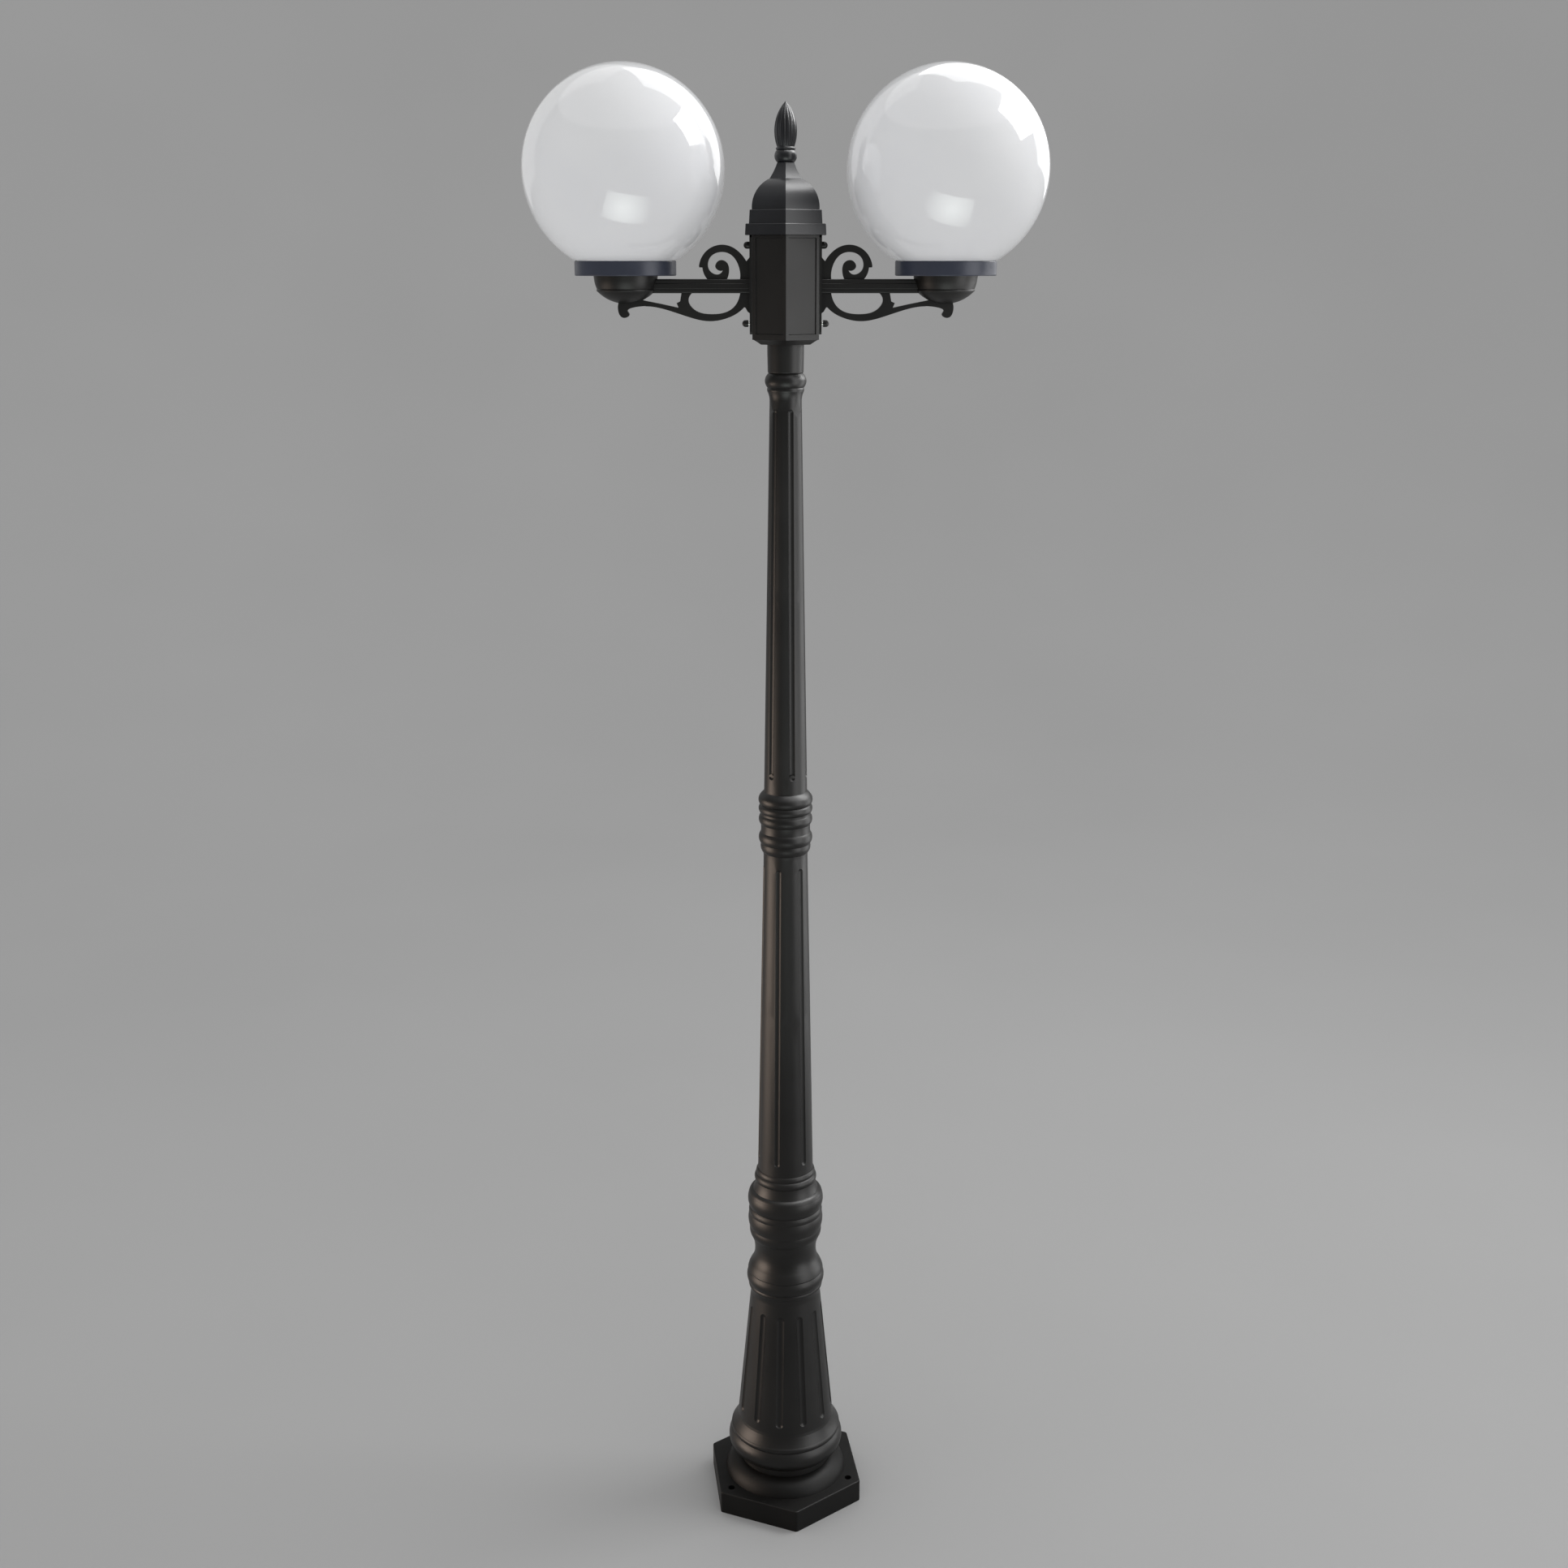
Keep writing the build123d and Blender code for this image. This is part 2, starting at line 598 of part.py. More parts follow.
def strut_opening():
    """Slot between the bar and the strut, with a barb at its end."""
    Polyline((156.5, BAR_LOW), (204, BAR_LOW), (216, 2066), (214, 2065))
    ThreePointArc((214, 2065), (188, 2060), (161, 2054.2))
    Polyline((161, 2054.2), (164, 2061.2), (158.7, 2063.6), (156.5, BAR_LOW))


with BuildPart() as arm_scroll:
    with BuildSketch(Plane.XZ):
        with BuildLine():
            arm_outline()
        make_face()
    extrude(amount=ARM_Y, both=True)
    with BuildSketch(Plane.XZ):
        for opening in (spiral_opening, bow_opening, strut_opening):
            with BuildLine():
                opening()
            make_face()
    extrude(amount=ARM_Y, both=True, mode=Mode.SUBTRACT)

# solid shape of the cup under the globe's collar, which the arm is cut back to
with BuildPart() as cup_form:
    with BuildSketch(Plane.XZ):
        with BuildLine():
            Polyline((REACH, 2060), (REACH, CUP_TOP), (REACH + 48.2, CUP_TOP), (REACH + 47.4, 2095))
            ThreePointArc((REACH + 47.4, 2095), (REACH + 46, 2088), (REACH + 43.6, 2081.6))
            bead((REACH + 43.6, 2081.6), (REACH + 42.4, 2077.4), REACH + 44.2)
            dish(REACH, 42.4, 2077.4, 2060)
        make_face()
    revolve(axis=Axis((REACH, 0, 0), (0, 0, 1)))

with BuildPart() as arm:
    add(arm_scroll.part)
    # bar with a raised band along each side
    with BuildSketch(Plane.YZ.offset(52)):
        with Locations((0, BORE_Z)):
            RectangleRounded(2 * BAR_HALF_Y, BAR_HIGH - BAR_LOW, 2)
            RectangleRounded(2 * BAR_HALF_Y + 2, 8, 0.9)
    extrude(amount=REACH - 42 - 52)
    # backplate on the housing's face
    with BuildSketch(Plane.YZ.offset(50.8)):
        with Locations((0, (2016 + HOUSING_TOP) / 2)):
            RectangleRounded(50, HOUSING_TOP - 2016, 4)
    extrude(amount=PLATE_FACE - 50.8)
    # the lead's way through the bar, and the stud holes
    with BuildSketch(Plane.YZ.offset(50)):
        with Locations((0, BORE_Z)):
            Circle(LEAD_BORE_R)
        with Locations(*[(0, height) for height in STUD_HEIGHTS]):
            Circle(3.1)
    extrude(amount=REACH - 20 - 50, mode=Mode.SUBTRACT)
    add(cup_form.part, mode=Mode.SUBTRACT)
for side, solid in both_sides(arm.part).items():
    save(f"arm_{side}", solid)

with BuildPart() as cup:
    add(cup_form.part)
    with BuildSketch(Plane.XZ):
        with BuildLine():
            Polyline((REACH, 2064), (REACH, CUP_TOP), (REACH + 43.5, CUP_TOP), (REACH + 43.5, 2095))
            dish(REACH, 43.5, 2095, 2064)
        make_face()
    revolve(axis=Axis((REACH, 0, 0), (0, 0, 1)), mode=Mode.SUBTRACT)
    # the lead comes in through the wall on the post's side
    with BuildSketch(Plane.YZ.offset(REACH - 50)):
        with Locations((0, BORE_Z)):
            Circle(LEAD_BORE_R)
    extrude(amount=30, mode=Mode.SUBTRACT)
for side, solid in both_sides(cup.part).items():
    save(f"cup_{side}", solid)

# ---------------------------------------------------------------- arm fixings
FACE = HOUSING_AF / 2
STUD_R = 3.0
CAP_NUT_R = 5.2
CAP_NUT_STANDOFF = (2.6, 0.0)  # the lower nut stands off its plate and shows the stud

with BuildPart() as arm_gaskets:
    with BuildSketch(Plane.YZ.offset(FACE)):
        with Locations((0, (2016 + HOUSING_TOP) / 2)):
            RectangleRounded(50, HOUSING_TOP - 2016, 4)
        with Locations((0, BORE_Z)):
            Circle(6, mode=Mode.SUBTRACT)
        with Locations(*[(0, height) for height in STUD_HEIGHTS]):
            Circle(3.1, mode=Mode.SUBTRACT)
    extrude(amount=0.8)
    mirror(about=Plane.YZ)
save("arm_gaskets", arm_gaskets.part)

with BuildPart() as arm_studs:
    for height, standoff in zip(STUD_HEIGHTS, CAP_NUT_STANDOFF):
        with BuildSketch(Plane.YZ.offset(37)):
            with Locations((0, height)):
                Circle(STUD_R)
        extrude(amount=PLATE_FACE + standoff + 6 - 37)
    mirror(about=Plane.YZ)
save("arm_studs", arm_studs.part)

with BuildPart() as arm_cap_nuts:
    for height, standoff in zip(STUD_HEIGHTS, CAP_NUT_STANDOFF):
        seat = PLATE_FACE + standoff
        with BuildSketch(Plane.XZ):
            with BuildLine():
                Polyline(
                    (seat + 9.2, height),
                    (seat + 6, height),
                    (seat + 6, height + STUD_R),
                    (seat, height + STUD_R),
                    (seat, height + CAP_NUT_R),
                    (seat + 4, height + CAP_NUT_R),
                )
                RadiusArc((seat + 4, height + CAP_NUT_R), (seat + 9.2, height), CAP_NUT_R)
            make_face()
        revolve(axis=Axis((0, 0, height), (1, 0, 0)))
    mirror(about=Plane.YZ)
save("arm_cap_nuts", arm_cap_nuts.part)

with BuildPart() as arm_inner_nuts:
    with BuildSketch(Plane.YZ.offset(FACE - HOUSING_WALL - 5)):
        with Locations(*[(0, height) for height in STUD_HEIGHTS]):
            RegularPolygon(5, 6, major_radius=False)
            Circle(STUD_R, mode=Mode.SUBTRACT)
    extrude(amount=5)
    mirror(about=Plane.YZ)
save("arm_inner_nuts", arm_inner_nuts.part)

# ---------------------------------------------------------------- wiring inside the head
SHELF_TOP = 2075.0
BLOCK_HALF_X = 12.0
with BuildPart() as terminal_bracket:
    with BuildSketch(Plane.YZ):
        with BuildLine():
            Polyline(
                (20, HUB_FLOOR_TOP),
                (32, HUB_FLOOR_TOP),
                (32, SHELF_TOP),
                (0, SHELF_TOP),
                (0, SHELF_TOP - 2),
                (30, SHELF_TOP - 2),
                (30, HUB_FLOOR_TOP + 2),
                (20, HUB_FLOOR_TOP + 2),
                close=True,
            )
        make_face()
        mirror(about=Plane.YZ)
    extrude(amount=9, both=True)
save("terminal_bracket", terminal_bracket.part)

with BuildPart() as bracket_screws:
    with BuildSketch(Plane.XY.offset(HUB_FLOOR_TOP + 2)):
        with Locations((0, -25), (0, 25)):
            Circle(3.4)
    extrude(amount=2.2)
    fillet(bracket_screws.edges().group_by(Axis.Z)[-1], radius=0.8)
save("bracket_screws", bracket_screws.part)

with BuildPart() as terminal_block:
    with BuildSketch(Plane.XY.offset(SHELF_TOP)):
        RectangleRounded(2 * BLOCK_HALF_X, 36, 1.5)
    extrude(amount=18)
    # one screw well over each end of the three poles
    with BuildSketch(Plane.XY.offset(SHELF_TOP + 18)):
        with GridLocations(12, 11, 2, 3):
            Circle(3)
    extrude(amount=-4, mode=Mode.SUBTRACT)
save("terminal_block", terminal_block.part)

with BuildPart() as terminal_screws:
    with BuildSketch(Plane.XY.offset(SHELF_TOP + 14)):
        with GridLocations(12, 11, 2, 3):
            Circle(2.4)
    extrude(amount=2.5)
    with BuildSketch(Plane.XY.offset(SHELF_TOP + 16.5)):
        with GridLocations(12, 11, 2, 3):
            Rectangle(4.8, 0.8)
    extrude(amount=-1, mode=Mode.SUBTRACT)
save("terminal_screws", terminal_screws.part)

with BuildPart() as earth_stud:
    with BuildSketch(Plane.XY.offset(HUB_FLOOR_TOP)):
        with Locations((24, 0)):
            Circle(2.5)
    extrude(amount=14)
save("earth_stud", earth_stud.part)

with BuildPart() as earth_nut:
    with BuildSketch(Plane.XY.offset(HUB_FLOOR_TOP)):
        with Locations((24, 0)):
            RegularPolygon(4, 6, major_radius=False)
            Circle(2.5, mode=Mode.SUBTRACT)
    extrude(amount=4)
save("earth_nut", earth_nut.part)

lead_route = [(BLOCK_HALF_X, 0, BORE_Z), (REACH, 0, BORE_Z), (REACH, 0, LAMP_FLOOR + 2)]
with BuildPart() as lead:
    with BuildLine() as lead_path:
        FilletPolyline(*lead_route, radius=LEAD_BEND)
    with BuildSketch(Plane.YZ.offset(BLOCK_HALF_X)):
        with Locations((0, BORE_Z)):
            Circle(LEAD_R)
    sweep()
for side, solid in both_sides(lead.part).items():
    save(f"lead_{side}", solid)
lead_length = sum(edge.length for edge in lead_path.edges())
print("lead volume over section times length", lead.part.volume / (pi * LEAD_R**2 * lead_length))

with BuildPart() as lead_grommets:
    with BuildSketch(Plane.XZ):
        with BuildLine():
            Polyline(
                (44, BORE_Z + LEAD_R),
                (44, BORE_Z + 8),
                (FACE - HOUSING_WALL, BORE_Z + 8),
                (FACE - HOUSING_WALL, BORE_Z + 6),
                (FACE + 0.8, BORE_Z + 6),
                (FACE + 0.8, BORE_Z + LEAD_R),
                close=True,
            )
        make_face()
    revolve(axis=Axis((0, 0, BORE_Z), (1, 0, 0)))
    mirror(about=Plane.YZ)
save("lead_grommets", lead_grommets.part)

# ---------------------------------------------------------------- collar, holder, bulb, globe
GLOBE_AXIS = Axis((REACH, 0, 0), (0, 0, 1))


def turned(points, axis_x=REACH):
    """Ring turned about a vertical axis from a closed outline of (radius, height) points."""
    with BuildPart() as body:
        with BuildSketch(Plane.XZ):
            with BuildLine():
                Polyline(*[(axis_x + radius, height) for radius, height in points], close=True)
            make_face()
        revolve(axis=Axis((axis_x, 0, 0), (0, 0, 1)))
    return body.part


with BuildPart() as collar:
    with BuildSketch(Plane.XZ):
        with BuildLine():
            Polyline((REACH + 10, CUP_TOP), (REACH + 74.4, CUP_TOP))
            ThreePointArc(
                (REACH + 74.4, CUP_TOP), (REACH + 75.5, CUP_TOP + 0.5), (REACH + COLLAR_R, CUP_TOP + 1.6)
            )
            Line((REACH + COLLAR_R, CUP_TOP + 1.6), (REACH + COLLAR_R, COLLAR_TOP - 0.8))
            Polyline(
                (REACH + COLLAR_R, COLLAR_TOP - 0.8),
                (REACH + COLLAR_R - 0.3, COLLAR_TOP),
                (REACH + 72, COLLAR_TOP - 4),
                (REACH + 72, LAMP_FLOOR),
                (REACH + 10, LAMP_FLOOR),
                (REACH + 10, CUP_TOP),
            )
        make_face()
    revolve(axis=GLOBE_AXIS)
for side, solid in both_sides(collar.part).items():
    save(f"collar_{side}", solid)

globe_gasket = turned([(62, LAMP_FLOOR), (71, LAMP_FLOOR), (71, LAMP_FLOOR + 1.8), (62, LAMP_FLOOR + 1.8)])
with BuildPart() as globe_gaskets:
    add(globe_gasket)
    mirror(about=Plane.YZ)
save("globe_gaskets", globe_gaskets.part)

# opal sphere that narrows into a short neck standing in the collar
neck_join = GLOBE_Z - (GLOBE_R**2 - NECK_R**2) ** 0.5
inner_r = GLOBE_R - GLOBE_WALL
inner_join = GLOBE_Z - (inner_r**2 - (NECK_R - GLOBE_WALL) ** 2) ** 0.5
with BuildPart() as globe:
    with BuildSketch(Plane.XZ):
        with BuildLine():
            Polyline((REACH + NECK_R - GLOBE_WALL, inner_join), (REACH + NECK_R - GLOBE_WALL, NECK_BOTTOM))
            Line((REACH + NECK_R - GLOBE_WALL, NECK_BOTTOM), (REACH + NECK_R, NECK_BOTTOM))
            Line((REACH + NECK_R, NECK_BOTTOM), (REACH + NECK_R, neck_join))
            ThreePointArc(
                (REACH + NECK_R, neck_join), (REACH + GLOBE_R, GLOBE_Z), (REACH, GLOBE_Z + GLOBE_R)
            )
            Line((REACH, GLOBE_Z + GLOBE_R), (REACH, GLOBE_Z + inner_r))
            ThreePointArc(
                (REACH, GLOBE_Z + inner_r),
                (REACH + inner_r, GLOBE_Z),
                (REACH + NECK_R - GLOBE_WALL, inner_join),
            )
        make_face()
    revolve(axis=GLOBE_AXIS)
for side, solid in both_sides(globe.part).items():
    save(f"globe_{side}", solid)

# E27 holder: moulded body, screw shell and centre contact on a steel strip
HOLDER_LOW = LAMP_FLOOR + 2
HOLDER_TOP = HOLDER_LOW + 36
SHELL_R = 14.2
holder_body = turned(
    [
        (LEAD_R + 0.5, HOLDER_LOW),
        (HOLDER_R, HOLDER_LOW),
        (HOLDER_R, HOLDER_LOW + 14),
        (HOLDER_R - 2, HOLDER_LOW + 16),
        (HOLDER_R - 2, HOLDER_TOP - 4),
        (HOLDER_R, HOLDER_TOP - 3),
        (HOLDER_R, HOLDER_TOP),
        (SHELL_R, HOLDER_TOP),
        (SHELL_R, HOLDER_LOW + 8),
        (LEAD_R + 0.5, HOLDER_LOW + 8),
    ]
)
for side, solid in both_sides(holder_body).items():
    save(f"lampholder_{side}", solid)

shell = turned(
    [
        (SHELL_R - 0.6, HOLDER_LOW + 10),
        (SHELL_R, HOLDER_LOW + 10),
        (SHELL_R, HOLDER_TOP - 2),
        (SHELL_R - 0.6, HOLDER_TOP - 2),
    ]
)
with BuildPart() as lampholder_shells:
    add(shell)
    mirror(about=Plane.YZ)
save("lampholder_shells", lampholder_shells.part)

with BuildPart() as lampholder_contacts:
    with BuildSketch(Plane.XY.offset(HOLDER_LOW + 8)):
        with Locations((REACH, 0), (-REACH, 0)):
            Circle(6)
    extrude(amount=1.2)
save("lampholder_contacts", lampholder_contacts.part)

with BuildPart() as lampholder_brackets:
    with BuildSketch(Plane.XY.offset(LAMP_FLOOR)):
        with Locations((REACH, 0), (-REACH, 0)):
            RectangleRounded(78, 20, 4)
            Circle(LEAD_R + 0.5, mode=Mode.SUBTRACT)
    extrude(amount=2)
save("lampholder_brackets", lampholder_brackets.part)

with BuildPart() as collar_screws:
    with BuildSketch(Plane.XY.offset(LAMP_FLOOR + 2)):
        with Locations(*[(way * REACH + end * 33, 0) for way in (-1, 1) for end in (-1, 1)]):
            Circle(4)
    extrude(amount=2.6)
    fillet(collar_screws.edges().group_by(Axis.Z)[-1], radius=1)
save("collar_screws", collar_screws.part)

BULB_CAP_R = 13.2
BULB_LOW = HOLDER_LOW + 10.5
BULB_TOP = BULB_LOW + 108
bulb_cap = turned(
    [
        (0, BULB_LOW),
        (4.5, BULB_LOW),
        (10, BULB_LOW + 4),
        (BULB_CAP_R, BULB_LOW + 5),
        (BULB_CAP_R, BULB_LOW + 26),
        (0, BULB_LOW + 26),
    ]
)
for side, solid in both_sides(bulb_cap).items():
    save(f"bulb_cap_{side}", solid)

with BuildPart() as bulb_glass:
    with BuildSketch(Plane.XZ):
        with BuildLine():
            Polyline((REACH, BULB_LOW + 26), (REACH + 13, BULB_LOW + 26), (REACH + 15, BULB_LOW + 36))
            Spline(
                (REACH + 15, BULB_LOW + 36),
                (REACH + 24, BULB_LOW + 56),
                (REACH + 30, BULB_LOW + 78),
                (REACH, BULB_TOP),
                tangents=((0.15, 1), (-1, 0)),
            )
            Line((REACH, BULB_TOP), (REACH, BULB_LOW + 26))
        make_face()
    revolve(axis=GLOBE_AXIS)
    # thin glass, open towards the cap
    offset(amount=-1.2, openings=bulb_glass.faces().sort_by(Axis.Z)[0])
for side, solid in both_sides(bulb_glass.part).items():
    save(f"bulb_glass_{side}", solid)
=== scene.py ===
import bpy
import json
from math import cos, pi, radians, sin
from mathutils import Matrix, Vector

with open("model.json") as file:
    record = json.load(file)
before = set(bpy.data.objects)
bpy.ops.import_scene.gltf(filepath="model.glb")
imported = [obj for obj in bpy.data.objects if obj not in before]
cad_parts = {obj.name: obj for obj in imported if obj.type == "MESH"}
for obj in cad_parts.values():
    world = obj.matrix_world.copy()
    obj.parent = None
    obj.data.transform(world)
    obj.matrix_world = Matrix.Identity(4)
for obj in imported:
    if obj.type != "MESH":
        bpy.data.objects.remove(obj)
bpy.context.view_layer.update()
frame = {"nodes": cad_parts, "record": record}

# lengths in metres, light power in watts
SKY_STRENGTH = 0.74  # even light from all round
BOWL_FLAT = 4.0  # radius of the flat floor
BOWL_BEND = 4.0  # radius of the bend from the floor to the backdrop
BOWL_TOP = 9.0
BEND_STEPS = 12
BOWL_TURNS = 96
BOWL_DARK = (0.40, 0.40, 0.40)
BOWL_LIGHT = (0.42, 0.42, 0.42)
CAMERA_PLACE = (-0.0025, -2.8784, 2.1204)
CAMERA_DIP = 15.75  # angle that the camera looks down, degrees
SENSOR_MM = 36.0
LENS_MM = 42.48


# ---------------------------------------------------------------- node materials
def new_material(name):
    """Empty node material with a Principled shader wired to its output."""
    material = bpy.data.materials.new(name)
    material.use_nodes = True
    tree = material.node_tree
    tree.nodes.clear()
    out = tree.nodes.new("ShaderNodeOutputMaterial")
    shader = tree.nodes.new("ShaderNodeBsdfPrincipled")
    tree.links.new(shader.outputs["BSDF"], out.inputs["Surface"])
    return material, tree, shader


def noise(tree, scale, detail, rough=0.5):
    """Noise in the object's own coordinates, in metres, so that it moves with its piece."""
    coords = tree.nodes.new("ShaderNodeTexCoord")
    texture = tree.nodes.new("ShaderNodeTexNoise")
    texture.inputs["Scale"].default_value = scale
    texture.inputs["Detail"].default_value = detail
    texture.inputs["Roughness"].default_value = rough
    tree.links.new(coords.outputs["Object"], texture.inputs["Vector"])
    return texture.outputs["Fac"]


def ramp(tree, source, stops):
    """Colour ramp over a factor. stops are (position, value or colour)."""
    node = tree.nodes.new("ShaderNodeValToRGB")
    elements = node.color_ramp.elements
    while len(elements) < len(stops):
        elements.new(0.5)
    for element, (position, value) in zip(elements, stops):
        element.position = position
        element.color = (*value, 1) if hasattr(value, "__len__") else (value, value, value, 1)
    tree.links.new(source, node.inputs["Fac"])
    return node.outputs["Color"]


def blend_colours(tree, factor, first, second):
    """Mix of two colours, each a tuple or another node's output."""
    node = tree.nodes.new("ShaderNodeMix")
    node.data_type = "RGBA"
    for name, value in (("Factor", factor), ("A", first), ("B", second)):
        socket = node.inputs[name]
        if hasattr(value, "links"):
            tree.links.new(value, socket)
        else:
            socket.default_value = value
    return node.outputs["Result"]


def bump(tree, shader, *layers):
    """Chained bumps. layers are (height source, strength, distance in metres)."""
    normal = None
    for source, strength, distance in layers:
        node = tree.nodes.new("ShaderNodeBump")
        node.inputs["Strength"].default_value = strength
        node.inputs["Distance"].default_value = distance
        tree.links.new(source, node.inputs["Height"])
        if normal:
            tree.links.new(normal, node.inputs["Normal"])
        normal = node.outputs["Normal"]
    tree.links.new(normal, shader.inputs["Normal"])


def multiply(tree, first, second):
    """Product of two node outputs."""
    node = tree.nodes.new("ShaderNodeMath")
    node.operation = "MULTIPLY"
    tree.links.new(first, node.inputs[0])
    tree.links.new(second, node.inputs[1])
    return node.outputs["Value"]


def edge_wear(tree, radius):
    """1 on sharp convex edges, 0 on flats, from how much a rounded normal leaves the true one."""
    bevel = tree.nodes.new("ShaderNodeBevel")
    bevel.samples = 4
    bevel.inputs["Radius"].default_value = radius
    geometry = tree.nodes.new("ShaderNodeNewGeometry")
    dot = tree.nodes.new("ShaderNodeVectorMath")
    dot.operation = "DOT_PRODUCT"
    tree.links.new(bevel.outputs["Normal"], dot.inputs[0])
    tree.links.new(geometry.outputs["Normal"], dot.inputs[1])
    return ramp(tree, dot.outputs["Value"], ((0.72, 1.0), (0.97, 0.0)))


DUST_COLOUR = (0.16, 0.155, 0.145, 1)
WORN_COLOUR = (0.11, 0.108, 0.105, 1)
OPAL_DEEP = (0.89, 0.89, 0.91, 1)
OPAL_PALE = (0.93, 0.93, 0.94, 1)
TARNISH = (0.5, 0.45, 0.4)  # what a dull patch leaves of each colour of a bare metal


def powder_coat(name, colour, rough, dust, ior=1.38):
    """Satin powder coat on cast metal: fine orange peel, uneven sheen, dust where it settles."""
    material, tree, shader = new_material(name)
    broad = noise(tree, 9, 6, 0.6)
    fine = noise(tree, 900, 3)
    peel = noise(tree, 260, 4)
    cast = noise(tree, 45, 5, 0.6)
    light = tuple(c * 1.5 + 0.001 for c in colour)
    base = blend_colours(tree, ramp(tree, broad, ((0.35, 0.0), (0.7, 1.0))), (*colour, 1), (*light, 1))
    geometry = tree.nodes.new("ShaderNodeNewGeometry")
    split = tree.nodes.new("ShaderNodeSeparateXYZ")
    tree.links.new(geometry.outputs["Normal"], split.inputs["Vector"])
    upward = ramp(tree, split.outputs["Z"], ((0.55, 0.0), (1.0, dust)))
    specks = ramp(tree, noise(tree, 60, 8, 0.7), ((0.42, 0.0), (0.75, 1.0)))
    dusty = blend_colours(tree, multiply(tree, upward, specks), base, DUST_COLOUR)
    rubbed = ramp(tree, noise(tree, 130, 6, 0.7), ((0.5, 0.0), (0.8, 0.35)))
    worn = multiply(tree, edge_wear(tree, 0.0015), rubbed)
    tree.links.new(blend_colours(tree, worn, dusty, WORN_COLOUR), shader.inputs["Base Color"])
    tree.links.new(ramp(tree, broad, ((0.3, rough[0]), (0.7, rough[1]))), shader.inputs["Roughness"])
    shader.inputs["IOR"].default_value = ior
    bump(tree, shader, (cast, 0.12, 0.0006), (peel, 0.10, 0.0002), (fine, 0.06, 0.00006))
    return material


def plastic(name, colour, rough, spread, grain=600, ior=1.5):
    """Moulded plastic with a faint grain and uneven sheen."""
    material, tree, shader = new_material(name)
    shade = ramp(tree, noise(tree, 25, 5, 0.6), ((0.3, 0.0), (0.7, 1.0)))
    low = tuple(c * 0.85 for c in colour)
    tree.links.new(blend_colours(tree, shade, (*low, 1), (*colour, 1)), shader.inputs["Base Color"])
    sheen = ramp(tree, noise(tree, 60, 5), ((0.3, rough - spread), (0.7, rough + spread)))
    tree.links.new(sheen, shader.inputs["Roughness"])
    shader.inputs["IOR"].default_value = ior
    bump(tree, shader, (noise(tree, grain, 3), 0.05, 0.00008))
    return material


def opal_acrylic(name):
    """Opal acrylic: milky body with faint flow marks under a polished skin."""
    material, tree, shader = new_material(name)
    cloud = ramp(tree, noise(tree, 5, 3, 0.5), ((0.35, 0.0), (0.65, 1.0)))
    tree.links.new(blend_colours(tree, cloud, OPAL_DEEP, OPAL_PALE), shader.inputs["Base Color"])
    sheen = ramp(tree, noise(tree, 14, 4), ((0.3, 0.045), (0.7, 0.09)))
    tree.links.new(sheen, shader.inputs["Roughness"])
    shader.inputs["IOR"].default_value = 1.49
    shader.inputs["Subsurface Weight"].default_value = 0.25
    shader.inputs["Subsurface Radius"].default_value = (1.0, 0.9, 0.85)
    shader.inputs["Subsurface Scale"].default_value = 0.02
    shader.inputs["Coat Weight"].default_value = 0.5
    shader.inputs["Coat Roughness"].default_value = 0.03
    bump(tree, shader, (noise(tree, 11, 2), 0.03, 0.0008))
    return material


def metal(name, colour, rough):
    """Bare or plated metal with fine marks and dull patches."""
    material, tree, shader = new_material(name)
    patches = ramp(tree, noise(tree, 40, 7, 0.65), ((0.45, 0.0), (0.75, 0.5)))
    dull = tuple(c * t for c, t in zip(colour, TARNISH))
    tree.links.new(blend_colours(tree, patches, (*colour, 1), (*dull, 1)), shader.inputs["Base Color"])
    shader.inputs["Metallic"].default_value = 1.0
    sheen = ramp(tree, noise(tree, 90, 6, 0.6), ((0.3, rough - 0.07), (0.7, rough + 0.1)))
    tree.links.new(sheen, shader.inputs["Roughness"])
    bump(tree, shader, (noise(tree, 500, 3), 0.08, 0.0001))
    return material


MATERIALS = {
    "black_coat": powder_coat("black_coat", (0.0036, 0.0032, 0.0027), (0.36, 0.46), 0.05),
    "collar_plastic": plastic("collar_plastic", (0.038, 0.044, 0.066), 0.34, 0.05, 600, 1.36),
    "opal": opal_acrylic("opal"),
    "zinc_steel": metal("zinc_steel", (0.62, 0.62, 0.60), 0.32),
    "brass": metal("brass", (0.78, 0.57, 0.25), 0.28),
    "nickel_cap": metal("nickel_cap", (0.74, 0.71, 0.66), 0.24),
    "bulb_opal": plastic("bulb_opal", (0.86, 0.86, 0.83), 0.22, 0.05, 900),
    "ceramic": plastic("ceramic", (0.80, 0.78, 0.71), 0.25, 0.06),
    "rubber": plastic("rubber", (0.022, 0.022, 0.022), 0.62, 0.08, 1200),
    "cable_sheath": plastic("cable_sheath", (0.50, 0.50, 0.48), 0.5, 0.08, 1500),
}
# painted highlight: the roof cap and finial get a lit copy of the black coat, bluer, glossier and more
# reflective than the same paint elsewhere, so that their highlights read brighter
LIT_HEAD_COAT = powder_coat("lit_head_coat", (0.0030, 0.0035, 0.0055), (0.30, 0.38), 0.05, 1.45)
# painted shade: the foot casting gets a shaded copy of the black coat, darker, duller and less
# reflective, so that its top reads dark even though it faces up
SHADED_FOOT_COAT = powder_coat("shaded_foot_coat", (0.0022, 0.0021, 0.0018), (0.46, 0.56), 0.02, 1.26)
LIT_AND_SHADED_COATS = {"roof_cap": LIT_HEAD_COAT, "finial": LIT_HEAD_COAT, "foot_casting": SHADED_FOOT_COAT}

for part in frame["record"]["subparts"]:
    node = frame["nodes"][part["node"]]
    finish = LIT_AND_SHADED_COATS.get(part["node"], MATERIALS[part["material_slot"]])
    node.data.materials.clear()
    node.data.materials.append(finish)


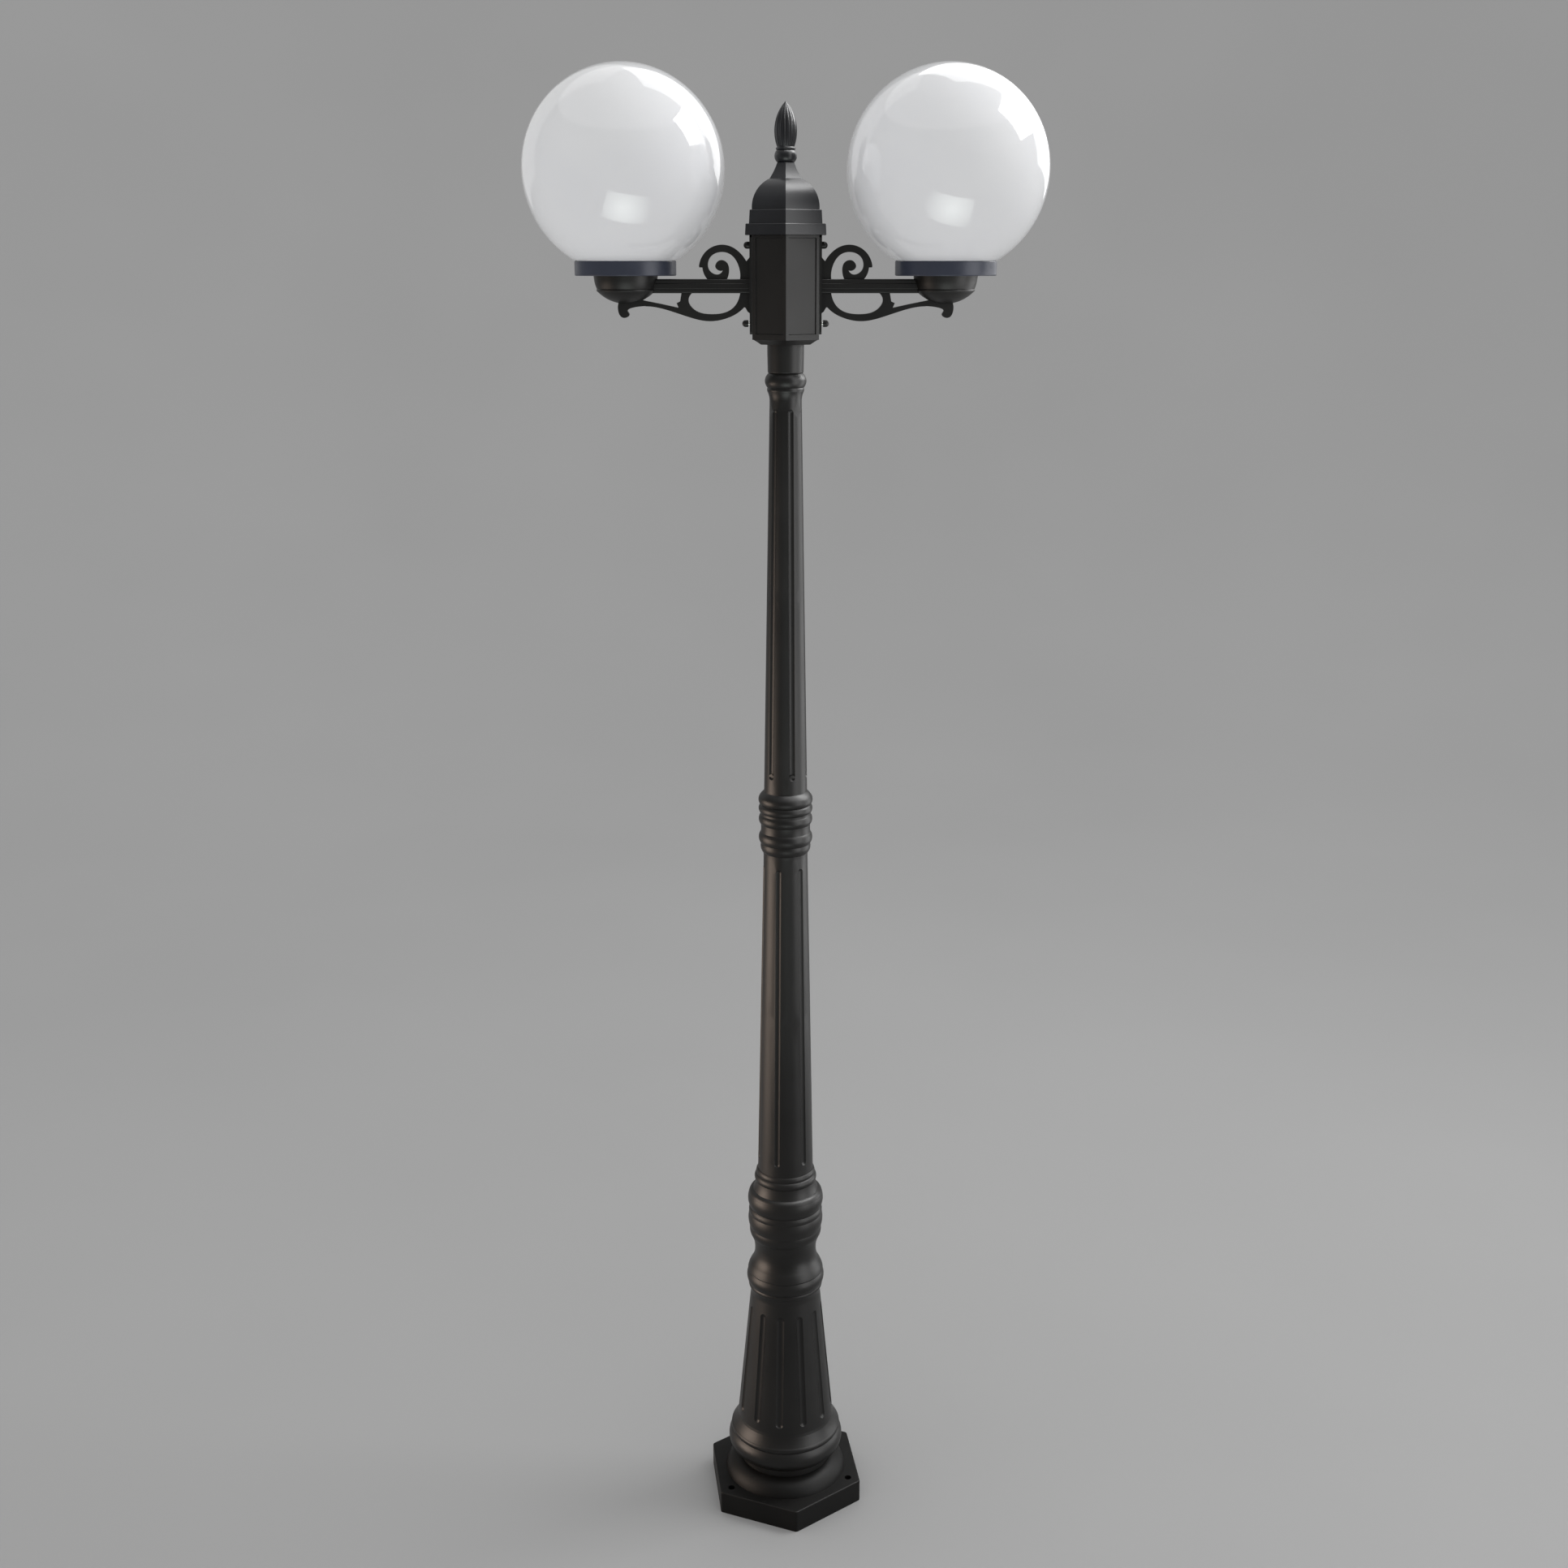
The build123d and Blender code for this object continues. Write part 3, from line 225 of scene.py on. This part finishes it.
# ---------------------------------------------------------------- studio
def area_light(name, place, aim, size, watts, colour=(1, 1, 1), up=(0, 0, 1), spread=180, diffuse=False):
    """Rectangular soft light with its height along up, which shows only in reflections unless diffuse."""
    data = bpy.data.lights.new(name, "AREA")
    data.shape = "RECTANGLE"
    data.size, data.size_y = size
    data.energy = watts
    data.color = colour
    data.spread = radians(spread)
    light = bpy.data.objects.new(name, data)
    back = (Vector(place) - Vector(aim)).normalized()
    across = Vector(up).cross(back).normalized()
    light.location = place
    light.rotation_euler = Matrix((across, back.cross(across), back)).transposed().to_euler()
    light.visible_camera = False
    light.visible_diffuse = diffuse
    bpy.context.scene.collection.objects.link(light)
    return light


def studio_bowl():
    """Seamless floor that curves up into a round backdrop."""
    profile = [(0, 0), (BOWL_FLAT, 0)]
    for step in range(1, BEND_STEPS + 1):
        angle = step / BEND_STEPS * pi / 2
        profile.append((BOWL_FLAT + BOWL_BEND * sin(angle), BOWL_BEND - BOWL_BEND * cos(angle)))
    profile.append((BOWL_FLAT + BOWL_BEND, BOWL_TOP))
    vertices, faces = [], []
    for index in range(BOWL_TURNS):
        angle = 2 * pi * index / BOWL_TURNS
        vertices += [(r * cos(angle), r * sin(angle), z) for r, z in profile]
    count = len(profile)
    for index in range(BOWL_TURNS):
        near, far = index * count, (index + 1) % BOWL_TURNS * count
        faces += [(near + k, far + k, far + k + 1, near + k + 1) for k in range(count - 1)]
    mesh = bpy.data.meshes.new("backdrop")
    mesh.from_pydata(vertices, [], faces)
    for polygon in mesh.polygons:
        polygon.use_smooth = True
    material, tree, shader = new_material("backdrop")
    paper = ramp(tree, noise(tree, 0.6, 3), ((0.3, BOWL_DARK), (0.7, BOWL_LIGHT)))
    tree.links.new(paper, shader.inputs["Base Color"])
    shader.inputs["Roughness"].default_value = 0.9
    shader.inputs["Specular IOR Level"].default_value = 0.1
    mesh.materials.append(material)
    bowl = bpy.data.objects.new("backdrop", mesh)
    # the even light of the surroundings passes through, so that the post is lit from all round
    bowl.visible_diffuse = False
    bowl.visible_shadow = False
    bpy.context.scene.collection.objects.link(bowl)


studio_bowl()
world = bpy.data.worlds.new("studio")
world.use_nodes = True
world.node_tree.nodes["Background"].inputs["Color"].default_value = (1, 1, 1, 1)
world.node_tree.nodes["Background"].inputs["Strength"].default_value = SKY_STRENGTH
bpy.context.scene.world = world
bpy.context.scene.view_settings.view_transform = "Standard"

# soft key with the post's shadow, and the sources that the globes reflect
area_light("key", (2.5, 0.5, 3.9), (0, 0, 1.0), (1.5, 1.5), 50, diffuse=True)
area_light("wall_right", (1.1, 1.4, 3.45), (-0.1, 0.3, 2.25), (1.7, 3.3), 30, up=(-0.64, -0.13, 0.76))
area_light("wall_left", (-1.5, 1.6, 3.4), (0.1, 0.3, 2.25), (1.8, 3.6), 7, up=(0.64, -0.13, 0.76))
area_light(
    "card_low",
    (0.08, -1.5, 0.78),
    (0, 0, 2.25),
    (2.0, 1.2),
    3.0,
    colour=(0.93, 1.0, 0.96),
    up=(0.15, 0, 1),
    spread=60,
)
# sources that only the metal reflects
WARM = (1.0, 0.80, 0.66)
off_globes = (
    area_light("top", (0.9, -0.2, 4.9), (0, 0, 0.6), (2.2, 2.0), 105),
    area_light("side_right", (2.3, -1.3, 2.0), (0, 0, 1.7), (1.6, 4.8), 80),
    area_light("high_right", (1.9, 0.7, 3.3), (0, 0, 1.9), (1.5, 2.4), 95),
    area_light("low_right", (2.1, 0.7, 1.0), (0, 0, 1.0), (1.5, 1.9), 12, spread=120),
    area_light("low_left", (-1.9, -0.3, 0.7), (0, 0, 0.6), (1.3, 1.4), 12, WARM, spread=90),
)
globes = bpy.data.collections.new("globes")
for side in ("left", "right"):
    globes.objects.link(frame["nodes"]["globe_" + side])
for member in globes.collection_objects:
    member.light_linking.link_state = "EXCLUDE"
for light in off_globes:
    light.light_linking.receiver_collection = globes

# ---------------------------------------------------------------- camera
camera_data = bpy.data.cameras.new("camera")
camera_data.sensor_width = SENSOR_MM
camera_data.lens = LENS_MM
camera = bpy.data.objects.new("camera", camera_data)
camera.location = CAMERA_PLACE
camera.rotation_euler = (radians(90 - CAMERA_DIP), 0, 0)
bpy.context.scene.collection.objects.link(camera)
bpy.context.scene.camera = camera
